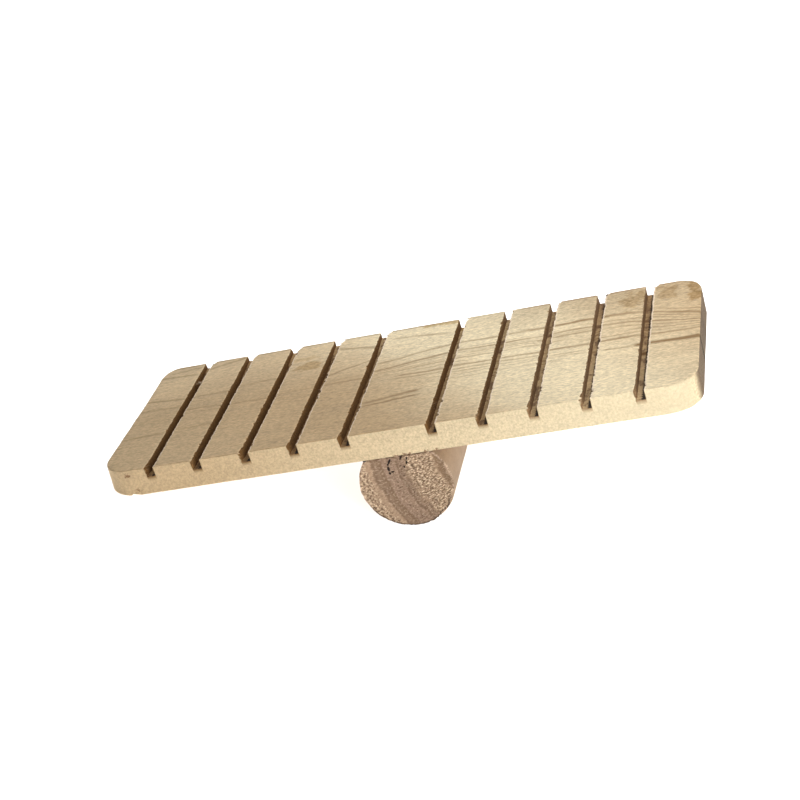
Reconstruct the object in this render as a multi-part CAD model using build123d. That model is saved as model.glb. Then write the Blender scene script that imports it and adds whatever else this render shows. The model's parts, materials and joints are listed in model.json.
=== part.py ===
"""Small wooden seesaw for a pet rodent: a grooved board glued across a flat-topped round rocker.

Row frame, in millimetres: +Z up, floor at Z = 0, +X towards the raised end, Y across the board.
The origin is on the floor, at mid-width, where the rocker touches it.

The pieces are drawn in the board's own frame, with the board lying level, its underside at Z = 0
and its middle at X = Y = 0. They are then tipped together until the -X end rests on the floor,
which is how the seesaw stands by itself: its weight sits above the rocker's centre, so it never
stays level.
"""

from build123d import *
import math
import os

# Board: one plank, sawn across the grain with shallow grip grooves.
BOARD_LENGTH = 190.0
BOARD_WIDTH = 70.0
BOARD_THICKNESS = 9.5
CORNER_RADIUS = 10.0  # the four corners, seen from above
BOARD_EDGE_ROUND = 0.5  # sanded top and bottom edges

# Grip grooves: the same number on each side of the middle tread.
GROOVES_PER_SIDE = 5
GROOVE_WIDTH = 2.7  # one pass of the saw
GROOVE_DEPTH = 3.3
MIDDLE_GROOVE_SPACING = 28.0  # centre to centre of the two grooves beside the middle tread
END_GROOVE_INSET = 17.0  # from the last groove's centre to the board's end

# Rocker: a round bar, planed flat along one side to take the board.
ROCKER_DIAMETER = 30.0
ROCKER_PLANED_DEPTH = 3.7  # taken off the bar's diameter to make the flat
ROCKER_END_SETBACK = 2.0  # each end stands this far inside the board's long edge
ROCKER_OFFSET = 1.0  # how far the rocker is glued from the board's middle, towards the raised end
ROCKER_END_CHAMFER = 0.4

# Glue line between the two, with the bead that squeezes out along both sides of the flat.
GLUE_THICKNESS = 0.2
GLUE_SQUEEZE_OUT = 0.6
GLUE_END_GAP = 1.5  # the glue stops short of the rocker's two ends

# Derived sizes.
GROOVED_LENGTH_PER_SIDE = BOARD_LENGTH / 2 - END_GROOVE_INSET - MIDDLE_GROOVE_SPACING / 2
GROOVE_PITCH = GROOVED_LENGTH_PER_SIDE / (GROOVES_PER_SIDE - 1)
ROCKER_RADIUS = ROCKER_DIAMETER / 2
ROCKER_HEIGHT = ROCKER_DIAMETER - ROCKER_PLANED_DEPTH
ROCKER_LENGTH = BOARD_WIDTH - 2 * ROCKER_END_SETBACK
ROCKER_CENTRE_Z = -(GLUE_THICKNESS + ROCKER_HEIGHT - ROCKER_RADIUS)
ROCKER_FLAT_Z = -GLUE_THICKNESS
ROCKER_FLAT_WIDTH = 2 * math.sqrt(ROCKER_RADIUS**2 - (ROCKER_HEIGHT - ROCKER_RADIUS) ** 2)


def groove_centres():
    """X of every groove, from the low end to the raised end."""
    one_side = [MIDDLE_GROOVE_SPACING / 2 + i * GROOVE_PITCH for i in range(GROOVES_PER_SIDE)]
    return [-x for x in reversed(one_side)] + one_side


def resting_tilt():
    """Angle, in degrees, at which the board's low edge and the rocker touch one flat floor.

    The floor is the line that touches two circles from below: the rocker, and the rounded
    bottom edge of the board's low end.
    """
    across = ROCKER_OFFSET + BOARD_LENGTH / 2 - BOARD_EDGE_ROUND
    drop = BOARD_EDGE_ROUND - ROCKER_CENTRE_Z
    apart = math.hypot(across, drop)
    radius_difference = ROCKER_RADIUS - BOARD_EDGE_ROUND
    return math.degrees(math.asin(radius_difference / apart) + math.atan2(drop, across))


def make_board():
    """The plank with rounded corners, eased edges and the row of grip grooves."""
    outline = RectangleRounded(BOARD_LENGTH, BOARD_WIDTH, CORNER_RADIUS)
    plank = extrude(outline, amount=BOARD_THICKNESS)
    rims = plank.faces().sort_by(Axis.Z)[0].edges() + plank.faces().sort_by(Axis.Z)[-1].edges()
    plank = fillet(rims, BOARD_EDGE_ROUND)
    groove_top = BOARD_THICKNESS + GROOVE_DEPTH
    groove_box = Box(
        GROOVE_WIDTH,
        2 * BOARD_WIDTH,
        2 * GROOVE_DEPTH,
        align=(Align.CENTER, Align.CENTER, Align.MAX),
    )
    for x in groove_centres():
        plank -= Pos(x, 0, groove_top) * groove_box
    return plank


def make_rocker():
    """The round bar along Y, planed flat on top and chamfered round its two ends."""
    bar = Rot(X=90) * Cylinder(ROCKER_RADIUS, ROCKER_LENGTH)
    ends = bar.edges().filter_by(GeomType.CIRCLE)
    bar = Pos(ROCKER_OFFSET, 0, ROCKER_CENTRE_Z) * chamfer(ends, ROCKER_END_CHAMFER)
    planed_off = Pos(ROCKER_OFFSET, 0, ROCKER_FLAT_Z) * Box(
        2 * ROCKER_DIAMETER,
        2 * ROCKER_LENGTH,
        2 * ROCKER_DIAMETER,
        align=(Align.CENTER, Align.CENTER, Align.MIN),
    )
    return bar - planed_off


def make_glue():
    """The thin film of dried glue that holds the rocker's flat to the board's underside."""
    return Pos(ROCKER_OFFSET, 0, ROCKER_FLAT_Z) * Box(
        ROCKER_FLAT_WIDTH + 2 * GLUE_SQUEEZE_OUT,
        ROCKER_LENGTH - 2 * GLUE_END_GAP,
        GLUE_THICKNESS,
        align=(Align.CENTER, Align.CENTER, Align.MIN),
    )


def stand_on_floor(shape):
    """Carries a shape from the board's frame into the row frame, tipped onto its low end."""
    rocker_centre_to_origin = Pos(-ROCKER_OFFSET, 0, -ROCKER_CENTRE_Z)
    tip = Rot(Y=-resting_tilt())
    return Pos(0, 0, ROCKER_RADIUS) * tip * rocker_centre_to_origin * shape


PARTS = {
    "tread_board": make_board,
    "rocker": make_rocker,
    "glue_film": make_glue,
}


def main():
    os.makedirs("parts", exist_ok=True)
    for name, make in PARTS.items():
        export_step(stand_on_floor(make()), f"parts/{name}.step")
    print(f"resting tilt {resting_tilt():.4f} degrees, overall height level "
          f"{BOARD_THICKNESS + GLUE_THICKNESS + ROCKER_HEIGHT:.1f} mm")


main()
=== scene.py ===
"""The looks of a small wooden rodent seesaw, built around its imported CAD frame.

The CAD gives the board, the rocker and the glue between them as plain solids. Here each of them is
remade as a fine mesh with what tools and use leave on wood: grooves with torn rims, eased edges, a
ragged sawn end and squeezed-out glue. The meshes are drawn in the board's own frame (X along the
board, Y across it, Z out of its top, origin at the middle of its underside) and the objects are then
placed in the row frame. Their wood is patterned in that same board frame, in millimetres.
"""

import json
import math
from functools import partial, reduce
from types import SimpleNamespace

import bpy
import numpy as np
from mathutils import Matrix, Vector, noise


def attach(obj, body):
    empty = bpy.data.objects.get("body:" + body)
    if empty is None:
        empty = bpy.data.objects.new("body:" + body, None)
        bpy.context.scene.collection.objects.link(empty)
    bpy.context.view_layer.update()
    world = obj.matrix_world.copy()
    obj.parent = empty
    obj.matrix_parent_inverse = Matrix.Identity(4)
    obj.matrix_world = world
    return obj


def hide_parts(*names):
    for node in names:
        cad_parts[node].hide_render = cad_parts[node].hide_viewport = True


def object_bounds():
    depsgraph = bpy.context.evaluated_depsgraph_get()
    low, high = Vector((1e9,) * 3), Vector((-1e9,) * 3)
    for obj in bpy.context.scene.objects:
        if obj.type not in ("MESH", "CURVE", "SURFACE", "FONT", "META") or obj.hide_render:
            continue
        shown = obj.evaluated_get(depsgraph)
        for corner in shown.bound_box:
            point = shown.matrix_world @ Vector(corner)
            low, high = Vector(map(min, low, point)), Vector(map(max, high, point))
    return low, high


MM = 0.001
CLOSE = 0.01  # points nearer than this to a plane, in millimetres, are on it

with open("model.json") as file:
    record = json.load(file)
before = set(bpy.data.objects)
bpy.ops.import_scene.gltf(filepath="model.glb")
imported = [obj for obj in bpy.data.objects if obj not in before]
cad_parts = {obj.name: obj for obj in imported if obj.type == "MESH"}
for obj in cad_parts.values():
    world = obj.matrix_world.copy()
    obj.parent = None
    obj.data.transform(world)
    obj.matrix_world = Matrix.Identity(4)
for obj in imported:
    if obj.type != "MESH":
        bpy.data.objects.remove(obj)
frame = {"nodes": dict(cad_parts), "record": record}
cad_low, cad_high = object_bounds()


# ---------------- the frame, measured


def mount(name):
    """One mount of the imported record."""
    return next(m for m in frame["record"]["mounts"] if m["name"] == name)


def node_points(node, to_row):
    """A CAD node's vertices, in millimetres, in the frame that to_row places in the row frame."""
    from_row = to_row.inverted()
    return np.array([from_row @ v.co for v in frame["nodes"][node].data.vertices]) / MM


def board_frame():
    """Where the board's own frame lies in the row frame."""
    tread = mount("middle_tread")
    up = Vector(tread["axis"])
    tilt = math.atan2(-up.x, up.z)
    at_top = Matrix.Translation(tread["pos_m"]) @ Matrix.Rotation(-tilt, 4, "Y")
    underside = node_points("tread_board", at_top)[:, 2].min() * MM
    return at_top @ Matrix.Translation((0, 0, underside))


BOARD = board_frame()

# The board, in millimetres.
board_points = node_points("tread_board", BOARD)
HALF_LENGTH, HALF_WIDTH, THICKNESS = board_points.max(axis=0)
long_edge = board_points[board_points[:, 1] > HALF_WIDTH - CLOSE]
CORNER_RADIUS = HALF_LENGTH - long_edge[:, 0].max()
inside_height = np.abs(board_points[:, 2] - THICKNESS / 2) < THICKNESS / 3
groove_floor_points = board_points[inside_height]
GROOVE_FLOOR = groove_floor_points[:, 2].mean()
groove_sides = np.unique(groove_floor_points[:, 0].round(2))
GROOVES = list(zip(groove_sides[0::2], groove_sides[1::2]))

# The rocker and the glue film, in millimetres.
rocker_points = node_points("rocker", BOARD)
rocker_low, rocker_high = rocker_points.min(axis=0), rocker_points.max(axis=0)
ROCKER_RADIUS = (rocker_high[0] - rocker_low[0]) / 2
ROCKER_X = (rocker_high[0] + rocker_low[0]) / 2
ROCKER_Z = rocker_low[2] + ROCKER_RADIUS
ROCKER_FLAT_Z = rocker_high[2]
ROCKER_HALF_LENGTH = rocker_high[1]
HALF_FLAT = math.sqrt(ROCKER_RADIUS ** 2 - (ROCKER_FLAT_Z - ROCKER_Z) ** 2)
FLAT_CORNER = math.asin((ROCKER_FLAT_Z - ROCKER_Z) / ROCKER_RADIUS)
glue_points = node_points("glue_film", BOARD)
GLUE_HALF_LENGTH = glue_points[:, 1].max()


# ---------------- mesh helpers


def spread(start, stop, step):
    """Even stations from start to stop, at most step apart."""
    cells = max(1, math.ceil((stop - start) / step - 1e-6))
    return np.linspace(start, stop, cells + 1)


def merged(*groups):
    """All stations in rising order, each once."""
    return np.unique(np.concatenate([np.atleast_1d(g) for g in groups]).round(4))


def smooth(values, low, high):
    """0 below low, 1 above high, and an S curve between."""
    t = np.clip((values - low) / (high - low), 0, 1)
    return t * t * (3 - 2 * t)


def wander(points, size, seed):
    """Smooth noise from -1 to 1 at each point, for features of about that size."""
    shift = Vector((7.1, 3.7, 5.3)) * seed
    return np.array([noise.noise(Vector(p) / size + shift) for p in points])


def eased(across, down, radius):
    """Carries a square rim onto a quarter round.

    across and down are a point's distances from the two faces that meet at the rim, of which one
    is zero. Returns the distances after rounding.
    """
    along = np.clip((across - down) / radius, -1, 1)
    angle = math.pi / 4 * (1 + along)
    near = np.abs(across - down) < radius
    new_across = np.where(near, radius * (1 - np.cos(angle)), across)
    new_down = np.where(near, radius * (1 - np.sin(angle)), down)
    return new_across, new_down


def torn_rim(stations, seed, chips_per_100, bite):
    """How far a sawn rim has broken away, and how deep, at each station along it.

    Wood breaks along its fibres, so a chip has steep sides and a nearly flat inner end.
    """
    random = np.random.default_rng(seed)
    length = stations[-1] - stations[0]
    along_rim = [(s, 0.0, 0.0) for s in stations]
    recess = 0.16 + 0.30 * wander(along_rim, 0.9, seed) + 0.12 * wander(along_rim, 3.1, seed + 1)
    depth = np.full(len(stations), 0.5)
    for _ in range(random.poisson(length * chips_per_100 / 100)):
        middle = random.uniform(stations[0], stations[-1])
        half_length = 0.25 + 0.7 * random.random() ** 2
        size = bite * (0.25 + 0.75 * random.random() ** 3)
        lean = random.uniform(-0.35, 0.35)
        within = smooth(-np.abs(stations - middle), -half_length - 0.16, -half_length)
        chip = within * size * (1 + lean * (stations - middle) / half_length)
        recess = np.maximum(recess, chip)
        depth = np.maximum(depth, within * random.uniform(0.6, 1.7))
    return np.maximum(recess, 0), depth


def place_object(name, data):
    """A new object in the scene that shows a mesh, a lamp or a camera."""
    placed = bpy.data.objects.new(name, data)
    bpy.context.scene.collection.objects.link(placed)
    return placed


def make_object(name, points, faces, material, smooth_below=42, marks=None):
    """A piece from points in the board's frame, in millimetres, riding on the seesaw's one body.

    marks are named values per point, for its material to read.
    """
    mesh = bpy.data.meshes.new(name)
    mesh.from_pydata((np.asarray(points) * MM).tolist(), [], faces)
    mesh.transform(BOARD)
    mesh.validate()
    mesh.shade_smooth()
    mesh.set_sharp_from_angle(angle=math.radians(smooth_below))
    for mark, values in (marks or {}).items():
        layer = mesh.attributes.new(mark, "FLOAT", "POINT")
        layer.data.foreach_set("value", np.asarray(values, np.float32))
    mesh.materials.append(material)
    piece = place_object(name, mesh)
    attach(piece, "root")
    return piece


# ---------------- the board's mesh

EDGE_ROUND = 0.55  # the sanded outer edges
BACK_LOW_CORNER, BACK_RAISED_CORNER = 0.65, 0.85  # shares of the drawn corner radius
GROOVE_DRIFT = [-0.5, -0.5, 0.1, 0.0, 0.8, 0.6, 0.5, 0.1, 0.1, 0.0]  # each saw cut is a little off
LOW_END_SKEW = 1.3  # the low end was sawn a little askew: how much longer its front corner is
LOW_END_LEAN = 0.8  # and how much further its bottom edge stands out than its top edge
LOW_END_WEAR = 0.75  # how much of that bottom edge the floor has rubbed away
LOW_END_REACH = 12  # how far in from the low end it is worn
NOTCH_X = -85.3  # a bite out of the front bottom edge
NOTCH_SIZE = [1.4, 6.5, 3.0]
NOTCH_LIFT = 1.5
LEFT_RIM_CHIPS, RIGHT_RIM_CHIPS = (30, 0.7), (32, 0.75)  # how many per 100 mm, and how large
BACK_FULLNESS = 0.6  # how much the back edge stands out from its drawn place
BACK_RISE = 1.3  # how much shallower the low half's grooves get towards the back
RIM_STEPS = [0.16, 0.36, 0.66, 1.1, 1.7, 2.5]  # finer stations beside a groove
WALL_STEPS = [0.16, 0.36, 0.7, 1.2, 1.9, 2.6]  # finer stations down from the top
EDGE_STEPS = [0.18, 0.37, 0.58, 0.95, 1.5]  # finer stations beside an outer edge
TREAD_STEP = 1.3
ACROSS_STEP = 0.42
UNDERSIDE_SKIP = 6  # the plain underside takes every sixth station


def board_x_stations():
    """Stations along the board: close together at the groove rims and at the ends."""
    found = [[-HALF_LENGTH, HALF_LENGTH]]
    ends = np.array([0.0] + EDGE_STEPS)
    found += [-HALF_LENGTH + ends, HALF_LENGTH - ends]
    treads = [-HALF_LENGTH + EDGE_STEPS[-1]]
    for left, right in GROOVES:
        rim = np.array(RIM_STEPS)
        found += [left - rim, right + rim, spread(left, right, 0.7)]
        treads += [left - RIM_STEPS[-1], right + RIM_STEPS[-1]]
    found.append(spread(NOTCH_X - NOTCH_SIZE[0], NOTCH_X + NOTCH_SIZE[0], 0.35))
    treads.append(HALF_LENGTH - EDGE_STEPS[-1])
    found += [spread(a, b, TREAD_STEP) for a, b in zip(treads[0::2], treads[1::2])]
    return merged(*found)


def board_y_stations():
    """Stations across the board: even, and closer together towards the two long edges."""
    edge = np.array([0.0] + EDGE_STEPS)
    inner = HALF_WIDTH - EDGE_STEPS[-1]
    return merged(-HALF_WIDTH + edge, HALF_WIDTH - edge, spread(-inner, inner, ACROSS_STEP))


def board_z_stations():
    """Stations up the board's thickness."""
    bottom = np.array([0.0] + EDGE_STEPS[:3])
    top = THICKNESS - np.array([0.0] + WALL_STEPS)
    return merged(bottom, spread(EDGE_STEPS[2], GROOVE_FLOOR, 1.5), top)


def shell_faces(filled):
    """Outward quads between filled and empty cells of a lattice, as flat corner numbers.

    The lattice's own underside is left out.
    """
    shape = np.array(filled.shape) + 1
    number = np.arange(shape.prod()).reshape(shape)
    padded = np.pad(filled, 1)
    core = tuple([slice(1, -1)] * 3)
    quads = []
    for axis in range(3):
        for side in (0, 1):
            beyond = np.roll(padded, 1 - 2 * side, axis)[core]
            cells = np.argwhere(filled & ~beyond)
            if axis == 2 and side == 0:
                cells = cells[cells[:, 2] > 0]
            corner = cells.copy()
            corner[:, axis] += side
            one, two = np.zeros(3, int), np.zeros(3, int)
            one[(axis + 1) % 3] = 1
            two[(axis + 2) % 3] = 1
            ring = [corner, corner + one, corner + one + two, corner + two]
            quad = np.stack([number[tuple(c.T)] for c in ring], axis=1)
            quads.append(quad if side else quad[:, ::-1])
    return np.concatenate(quads), number


def underside_faces(number):
    """The flat underside in coarser faces, which still meet every station of its outline."""
    across = number[:, :, 0]
    last_x, last_y = across.shape[0] - 1, across.shape[1] - 1
    stops = list(range(0, last_y, UNDERSIDE_SKIP)) + [last_y]
    faces = []
    for start, stop in zip(stops, stops[1:]):
        for i in range(last_x):
            low_side = across[i, start:stop + 1] if i == 0 else across[i, [start, stop]]
            is_last = i + 1 == last_x
            high_side = across[i + 1, start:stop + 1] if is_last else across[i + 1, [start, stop]]
            faces.append(list(low_side) + list(high_side[::-1]))
    return faces


def corner_radius(x, y):
    """The hand-cut corners aren't equal: the radius of the one nearest to each point."""
    back = np.where(x < 0, BACK_LOW_CORNER, BACK_RAISED_CORNER)
    return CORNER_RADIUS * np.where(y > 0, back, 1.0)


def round_the_plan(x, y):
    """Squeezes the end treads along X, so that the board's four corners come out round."""
    radius = corner_radius(x, y)
    inset = np.clip(np.abs(y) - (HALF_WIDTH - radius), 0, radius)
    reach = HALF_LENGTH - radius + np.sqrt(radius ** 2 - inset ** 2)
    fixed = GROOVES[-1][1] + RIM_STEPS[-1]
    beyond = np.clip((np.abs(x) - fixed) / (HALF_LENGTH - fixed), 0, 1)
    return np.sign(x) * (np.minimum(np.abs(x), fixed) + beyond * (reach - fixed))


def ease_outline(points):
    """Rounds the top and bottom outer edges, by an amount that wanders along them."""
    x, y, z = points.T
    corner = corner_radius(x, y)
    corner_x = np.maximum(np.abs(x) - (HALF_LENGTH - corner), 0)
    corner_y = np.maximum(np.abs(y) - (HALF_WIDTH - corner), 0)
    reach = np.hypot(corner_x, corner_y)
    inward = corner - reach
    outward_x = np.sign(x) * corner_x / np.maximum(reach, 1e-6)
    outward_y = np.sign(y) * corner_y / np.maximum(reach, 1e-6)
    top = z > THICKNESS / 2
    down = np.where(top, THICKNESS - z, z)
    near_rim = (inward < 1.5) & (down < 1.5)
    radius = np.full(len(points), EDGE_ROUND)
    rims = points[near_rim]
    radius[near_rim] += 0.16 * wander(rims, 5.0, 11) + 0.10 * wander(rims, 1.3, 12)
    back_top = near_rim & top & (y > HALF_WIDTH - 3)
    radius[back_top] *= 0.4
    new_inward, new_down = eased(inward, down, radius)
    moved = near_rim & (np.minimum(inward, down) < 2 * CLOSE)
    shift = np.where(moved, inward - new_inward, 0)
    new_z = np.where(top, THICKNESS - new_down, new_down)
    return np.stack([x + outward_x * shift, y + outward_y * shift, np.where(moved, new_z, z)], axis=1)


def rim_damage(side, seed, y_stations):
    """How far each station of one groove's rim has broken back, and how deep.

    The saw tore out a flare at the front of each left-hand rim, and a corner at the back of each
    right-hand one.
    """
    random = np.random.default_rng(seed)
    if side < 0:
        recess, depth = torn_rim(y_stations, seed, *LEFT_RIM_CHIPS)
        tear = smooth(-y_stations, HALF_WIDTH - 6.5, HALF_WIDTH - 0.2) * random.uniform(0.3, 0.75)
        tear_depth = 7.0
    else:
        recess, depth = torn_rim(y_stations, seed, *RIGHT_RIM_CHIPS)
        tear = smooth(y_stations, HALF_WIDTH - 3.4, HALF_WIDTH) * random.uniform(1.0, 1.6)
        tear_depth = 3.6
    depth = np.where(tear > recess, tear_depth, depth)
    return np.maximum(recess, tear), depth


def tear_grooves(points, y_index, y_stations):
    """Breaks the grooves' rims and ripples their walls. Returns the points and a mark on each rim."""
    x, y, z = points.T.copy()
    down = THICKNESS - z
    rim_mark = np.zeros(len(points))
    reach = RIM_STEPS[-1]
    for g, (left, right) in enumerate(GROOVES):
        for side, wall in ((-1, left), (1, right)):
            away = side * (points[:, 0] - wall)
            near = (away > -CLOSE) & (away < reach)
            recess, depth = rim_damage(side, 100 + 10 * g + side, y_stations)
            here, deep = recess[y_index], depth[y_index]
            a, d = np.clip(away, 0, None), np.clip(down, 0, None)
            fade = np.clip(1 - a / reach, 0, 1) * np.clip(1 - d / np.maximum(deep, 0.01), 0, 1)
            saw = 0.05 * np.sin(points[:, 1] * 5.3 + g) * smooth(d, 0.1, 0.8) * (a < CLOSE)
            on_rim = near & (np.minimum(a, d) < 2 * CLOSE)
            new_a, new_d = eased(a, d, 0.12 + 0.25 * np.clip(here, 0, 0.5))
            a_moved = np.where(on_rim, new_a, a) + here * fade + saw
            d_moved = np.where(on_rim, new_d, d)
            x = np.where(near, wall + side * a_moved, x)
            z = np.where(near, THICKNESS - d_moved, z)
            # Strongest on each groove's right rim; the material paints the mark pale, partly as torn
            # fibre and partly as painted highlight.
            mark = np.clip(1.4 - (a + d) / 0.5, 0, 1) * (1.0 if side > 0 else 0.25)
            rim_mark = np.where(near, np.maximum(rim_mark, mark), rim_mark)
    return np.stack([x, y, z], axis=1), rim_mark


def roughen_board(points, in_groove):
    """Small unevenness: a nearly flat planed top, fuzzy groove floors and a slightly fuzzy side."""
    x, y, z = points.T.copy()
    flat_top = z > THICKNESS - 2 * CLOSE
    z[flat_top] += 0.05 * wander(points[flat_top] * [0.25, 1, 1], 4.5, 21)
    floor = in_groove & (z < GROOVE_FLOOR + 2 * CLOSE)
    z[floor] += 0.10 * wander(points[floor], 0.7, 22) + 0.10 * wander(points[floor], 2.4, 23)
    z[floor] += BACK_RISE * smooth(y[floor], 18, HALF_WIDTH) * (x[floor] < 0)
    wall = in_groove & (z > GROOVE_FLOOR + 2 * CLOSE) & (z < THICKNESS - 0.1)
    x[wall] += 0.07 * wander(points[wall], 0.9, 24)
    side = np.abs(y) > HALF_WIDTH - CLOSE
    y[side] -= np.sign(y[side]) * 0.05 * (1 + wander(points[side], 1.6, 25))
    return np.stack([x, y, z], axis=1)


def notch_bottom_edge(points):
    """A small bite out of the front bottom edge, near the low end."""
    notch = np.array([NOTCH_X, -HALF_WIDTH, 0.0])
    away = np.linalg.norm((points - notch) / NOTCH_SIZE, axis=1)
    lift = NOTCH_LIFT * smooth(-away, -1.0, -0.3)
    moved = points.copy()
    moved[:, 2] += lift
    moved[:, 1] += 0.4 * lift
    return moved


def saw_drift(x):
    """Moves X along the board, so that each groove is as far off its drawn place as the saw cut it."""
    middles = [(left + right) / 2 for left, right in GROOVES]
    return x + np.interp(x, [-HALF_LENGTH] + middles + [HALF_LENGTH], [0.0] + GROOVE_DRIFT + [0.0])


def wear_low_end(points):
    """The low end was sawn askew and out of square, and the floor has rubbed its bottom edge."""
    x, y, z = points.T
    near_end = np.clip((-x - (HALF_LENGTH - LOW_END_REACH)) / LOW_END_REACH, 0, 1)
    low = 1 - z / THICKNESS
    longer = LOW_END_SKEW * np.clip((10 - y) / 45, 0, 1) + LOW_END_LEAN * low
    return np.stack([x - near_end * longer, y, z + LOW_END_WEAR * low * near_end ** 2], axis=1)


def find_grooves(x, margin=0.0):
    """Whether each x is in a groove, and how far across it, from 0 at its left to 1."""
    inside = np.zeros(len(x), bool)
    across = np.zeros(len(x))
    for left, right in GROOVES:
        between = (x > left - margin) & (x < right + margin)
        inside |= between
        across[between] = (x[between] - left) / (right - left)
    return inside, across


def make_board(material):
    """The grooved plank as one closed mesh."""
    xs, ys, zs = board_x_stations(), board_y_stations(), board_z_stations()
    filled = np.ones((len(xs) - 1, len(ys) - 1, len(zs) - 1), bool)
    above_floor = (zs[:-1] + zs[1:]) / 2 > GROOVE_FLOOR
    grooved_x, _ = find_grooves((xs[:-1] + xs[1:]) / 2)
    filled[np.ix_(grooved_x, np.ones(len(ys) - 1, bool), above_floor)] = False
    quads, number = shell_faces(filled)
    under = underside_faces(number)
    used = np.unique(np.concatenate([quads.ravel(), np.concatenate(under)]))
    renumber = np.full(number.size, -1)
    renumber[used] = np.arange(len(used))
    ix, iy, iz = np.unravel_index(used, number.shape)
    points = np.stack([xs[ix], ys[iy], zs[iz]], axis=1)
    in_groove, across_groove = find_grooves(points[:, 0], CLOSE)
    in_groove &= points[:, 2] > GROOVE_FLOOR - CLOSE
    points[:, 0] = round_the_plan(points[:, 0], points[:, 1])
    points = roughen_board(points, in_groove)
    points, rim_mark = tear_grooves(points, iy, ys)
    points = ease_outline(points)
    points[:, 1] += BACK_FULLNESS * smooth(points[:, 1], 15, HALF_WIDTH)
    points = notch_bottom_edge(points)
    points[:, 0] = saw_drift(points[:, 0])
    points = wear_low_end(points)
    faces = renumber[quads].tolist() + [renumber[f].tolist() for f in under]
    deep = in_groove & (points[:, 2] < THICKNESS - 0.3)
    marks = {"rim": rim_mark, "groove": deep, "across_groove": across_groove}
    board = make_object("grooved_board", points, faces, material, marks=marks)
    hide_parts("tread_board")


# ---------------- the rocker's mesh

ROCKER_RIM_STEPS = [0.2, 0.45, 0.8, 1.3]
ROCKER_BULGE = 0.45  # how much fuller the bar is behind its front end, on the raised side

# Open resin pores in the front end: middle (x, z), half width, half height, lean to the right.
PORES = [
    (-2.1, -2.6, 0.34, 0.80, 0.55),
    (-2.9, -3.6, 0.21, 0.34, 0.0),
    (-3.0, -5.1, 0.34, 0.71, 0.0),
    (-3.0, -6.7, 0.31, 0.39, 0.0),
    (-2.0, -6.3, 0.44, 0.25, 0.0),
    (2.0, -1.5, 0.31, 0.86, 0.6),
    (3.2, -3.7, 0.26, 0.52, 0.3),
    (3.6, -2.3, 0.23, 0.46, 0.4),
    (2.1, -5.1, 0.23, 0.34, 0.0),
]


def rocker_angles():
    """Angles round the rocker's section, with one on each corner of its flat."""
    round_part = spread(math.pi - FLAT_CORNER, 2 * math.pi + FLAT_CORNER, 0.4 / ROCKER_RADIUS)
    flat_x = np.linspace(HALF_FLAT, -HALF_FLAT, 48)[1:-1]
    flat_part = np.arctan2(ROCKER_FLAT_Z - ROCKER_Z, flat_x)
    return np.concatenate([round_part, flat_part + 2 * math.pi])


def rocker_outline(angles):
    """Distance from the rocker's axis to its surface, at each angle."""
    to_flat = (ROCKER_FLAT_Z - ROCKER_Z) / np.maximum(np.sin(angles), 1e-6)
    on_flat = (np.sin(angles) > 0) & (to_flat < ROCKER_RADIUS)
    return np.where(on_flat, to_flat, ROCKER_RADIUS)


def rocker_rings():
    """Each ring's share of the radius, and its y: out from the front's middle, along, in again."""
    inner = spread(0.5, ROCKER_RADIUS - ROCKER_RIM_STEPS[-1] - 0.3, 0.36)
    rim = ROCKER_RADIUS - np.array(ROCKER_RIM_STEPS[::-1])
    shares = np.concatenate([inner, rim]) / ROCKER_RADIUS
    from_end = np.array([0.0] + ROCKER_RIM_STEPS)
    even = ROCKER_HALF_LENGTH - ROCKER_RIM_STEPS[-1]
    middle = spread(-even, even, 1.2)
    along = merged(-ROCKER_HALF_LENGTH + from_end, ROCKER_HALF_LENGTH - from_end, middle)
    front = [(share, -ROCKER_HALF_LENGTH) for share in shares]
    back = [(share, ROCKER_HALF_LENGTH) for share in shares[::-1]]
    return front + [(1.0, y) for y in along] + back


def rocker_rim_damage(angles, outline):
    """How far the front rim has crumbled at each angle: most at the lower right, the saw's way out."""
    along = np.unwrap(angles) * ROCKER_RADIUS
    light, _ = torn_rim(along, 301, 40, 0.5)
    heavy, _ = torn_rim(along, 302, 150, 1.3)
    saw_exit = smooth(np.cos(angles - math.radians(320)), 0.88, 0.96)
    on_flat = outline < ROCKER_RADIUS - 1e-6
    return np.where(on_flat, 0.9 * light, 0.5 * light + heavy * saw_exit)


def rocker_faces(around, rings):
    """Quads between neighbouring rings, and fans from the last two points to the end rings."""
    first, last = rings * around, rings * around + 1
    end_ring = (rings - 1) * around
    faces = []
    for a in range(around):
        b = (a + 1) % around
        faces.append([first, a, b])
        faces.append([last, end_ring + b, end_ring + a])
        for ring in range(0, end_ring, around):
            after = ring + around
            faces.append([ring + b, ring + a, after + a, after + b])
    return faces


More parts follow.
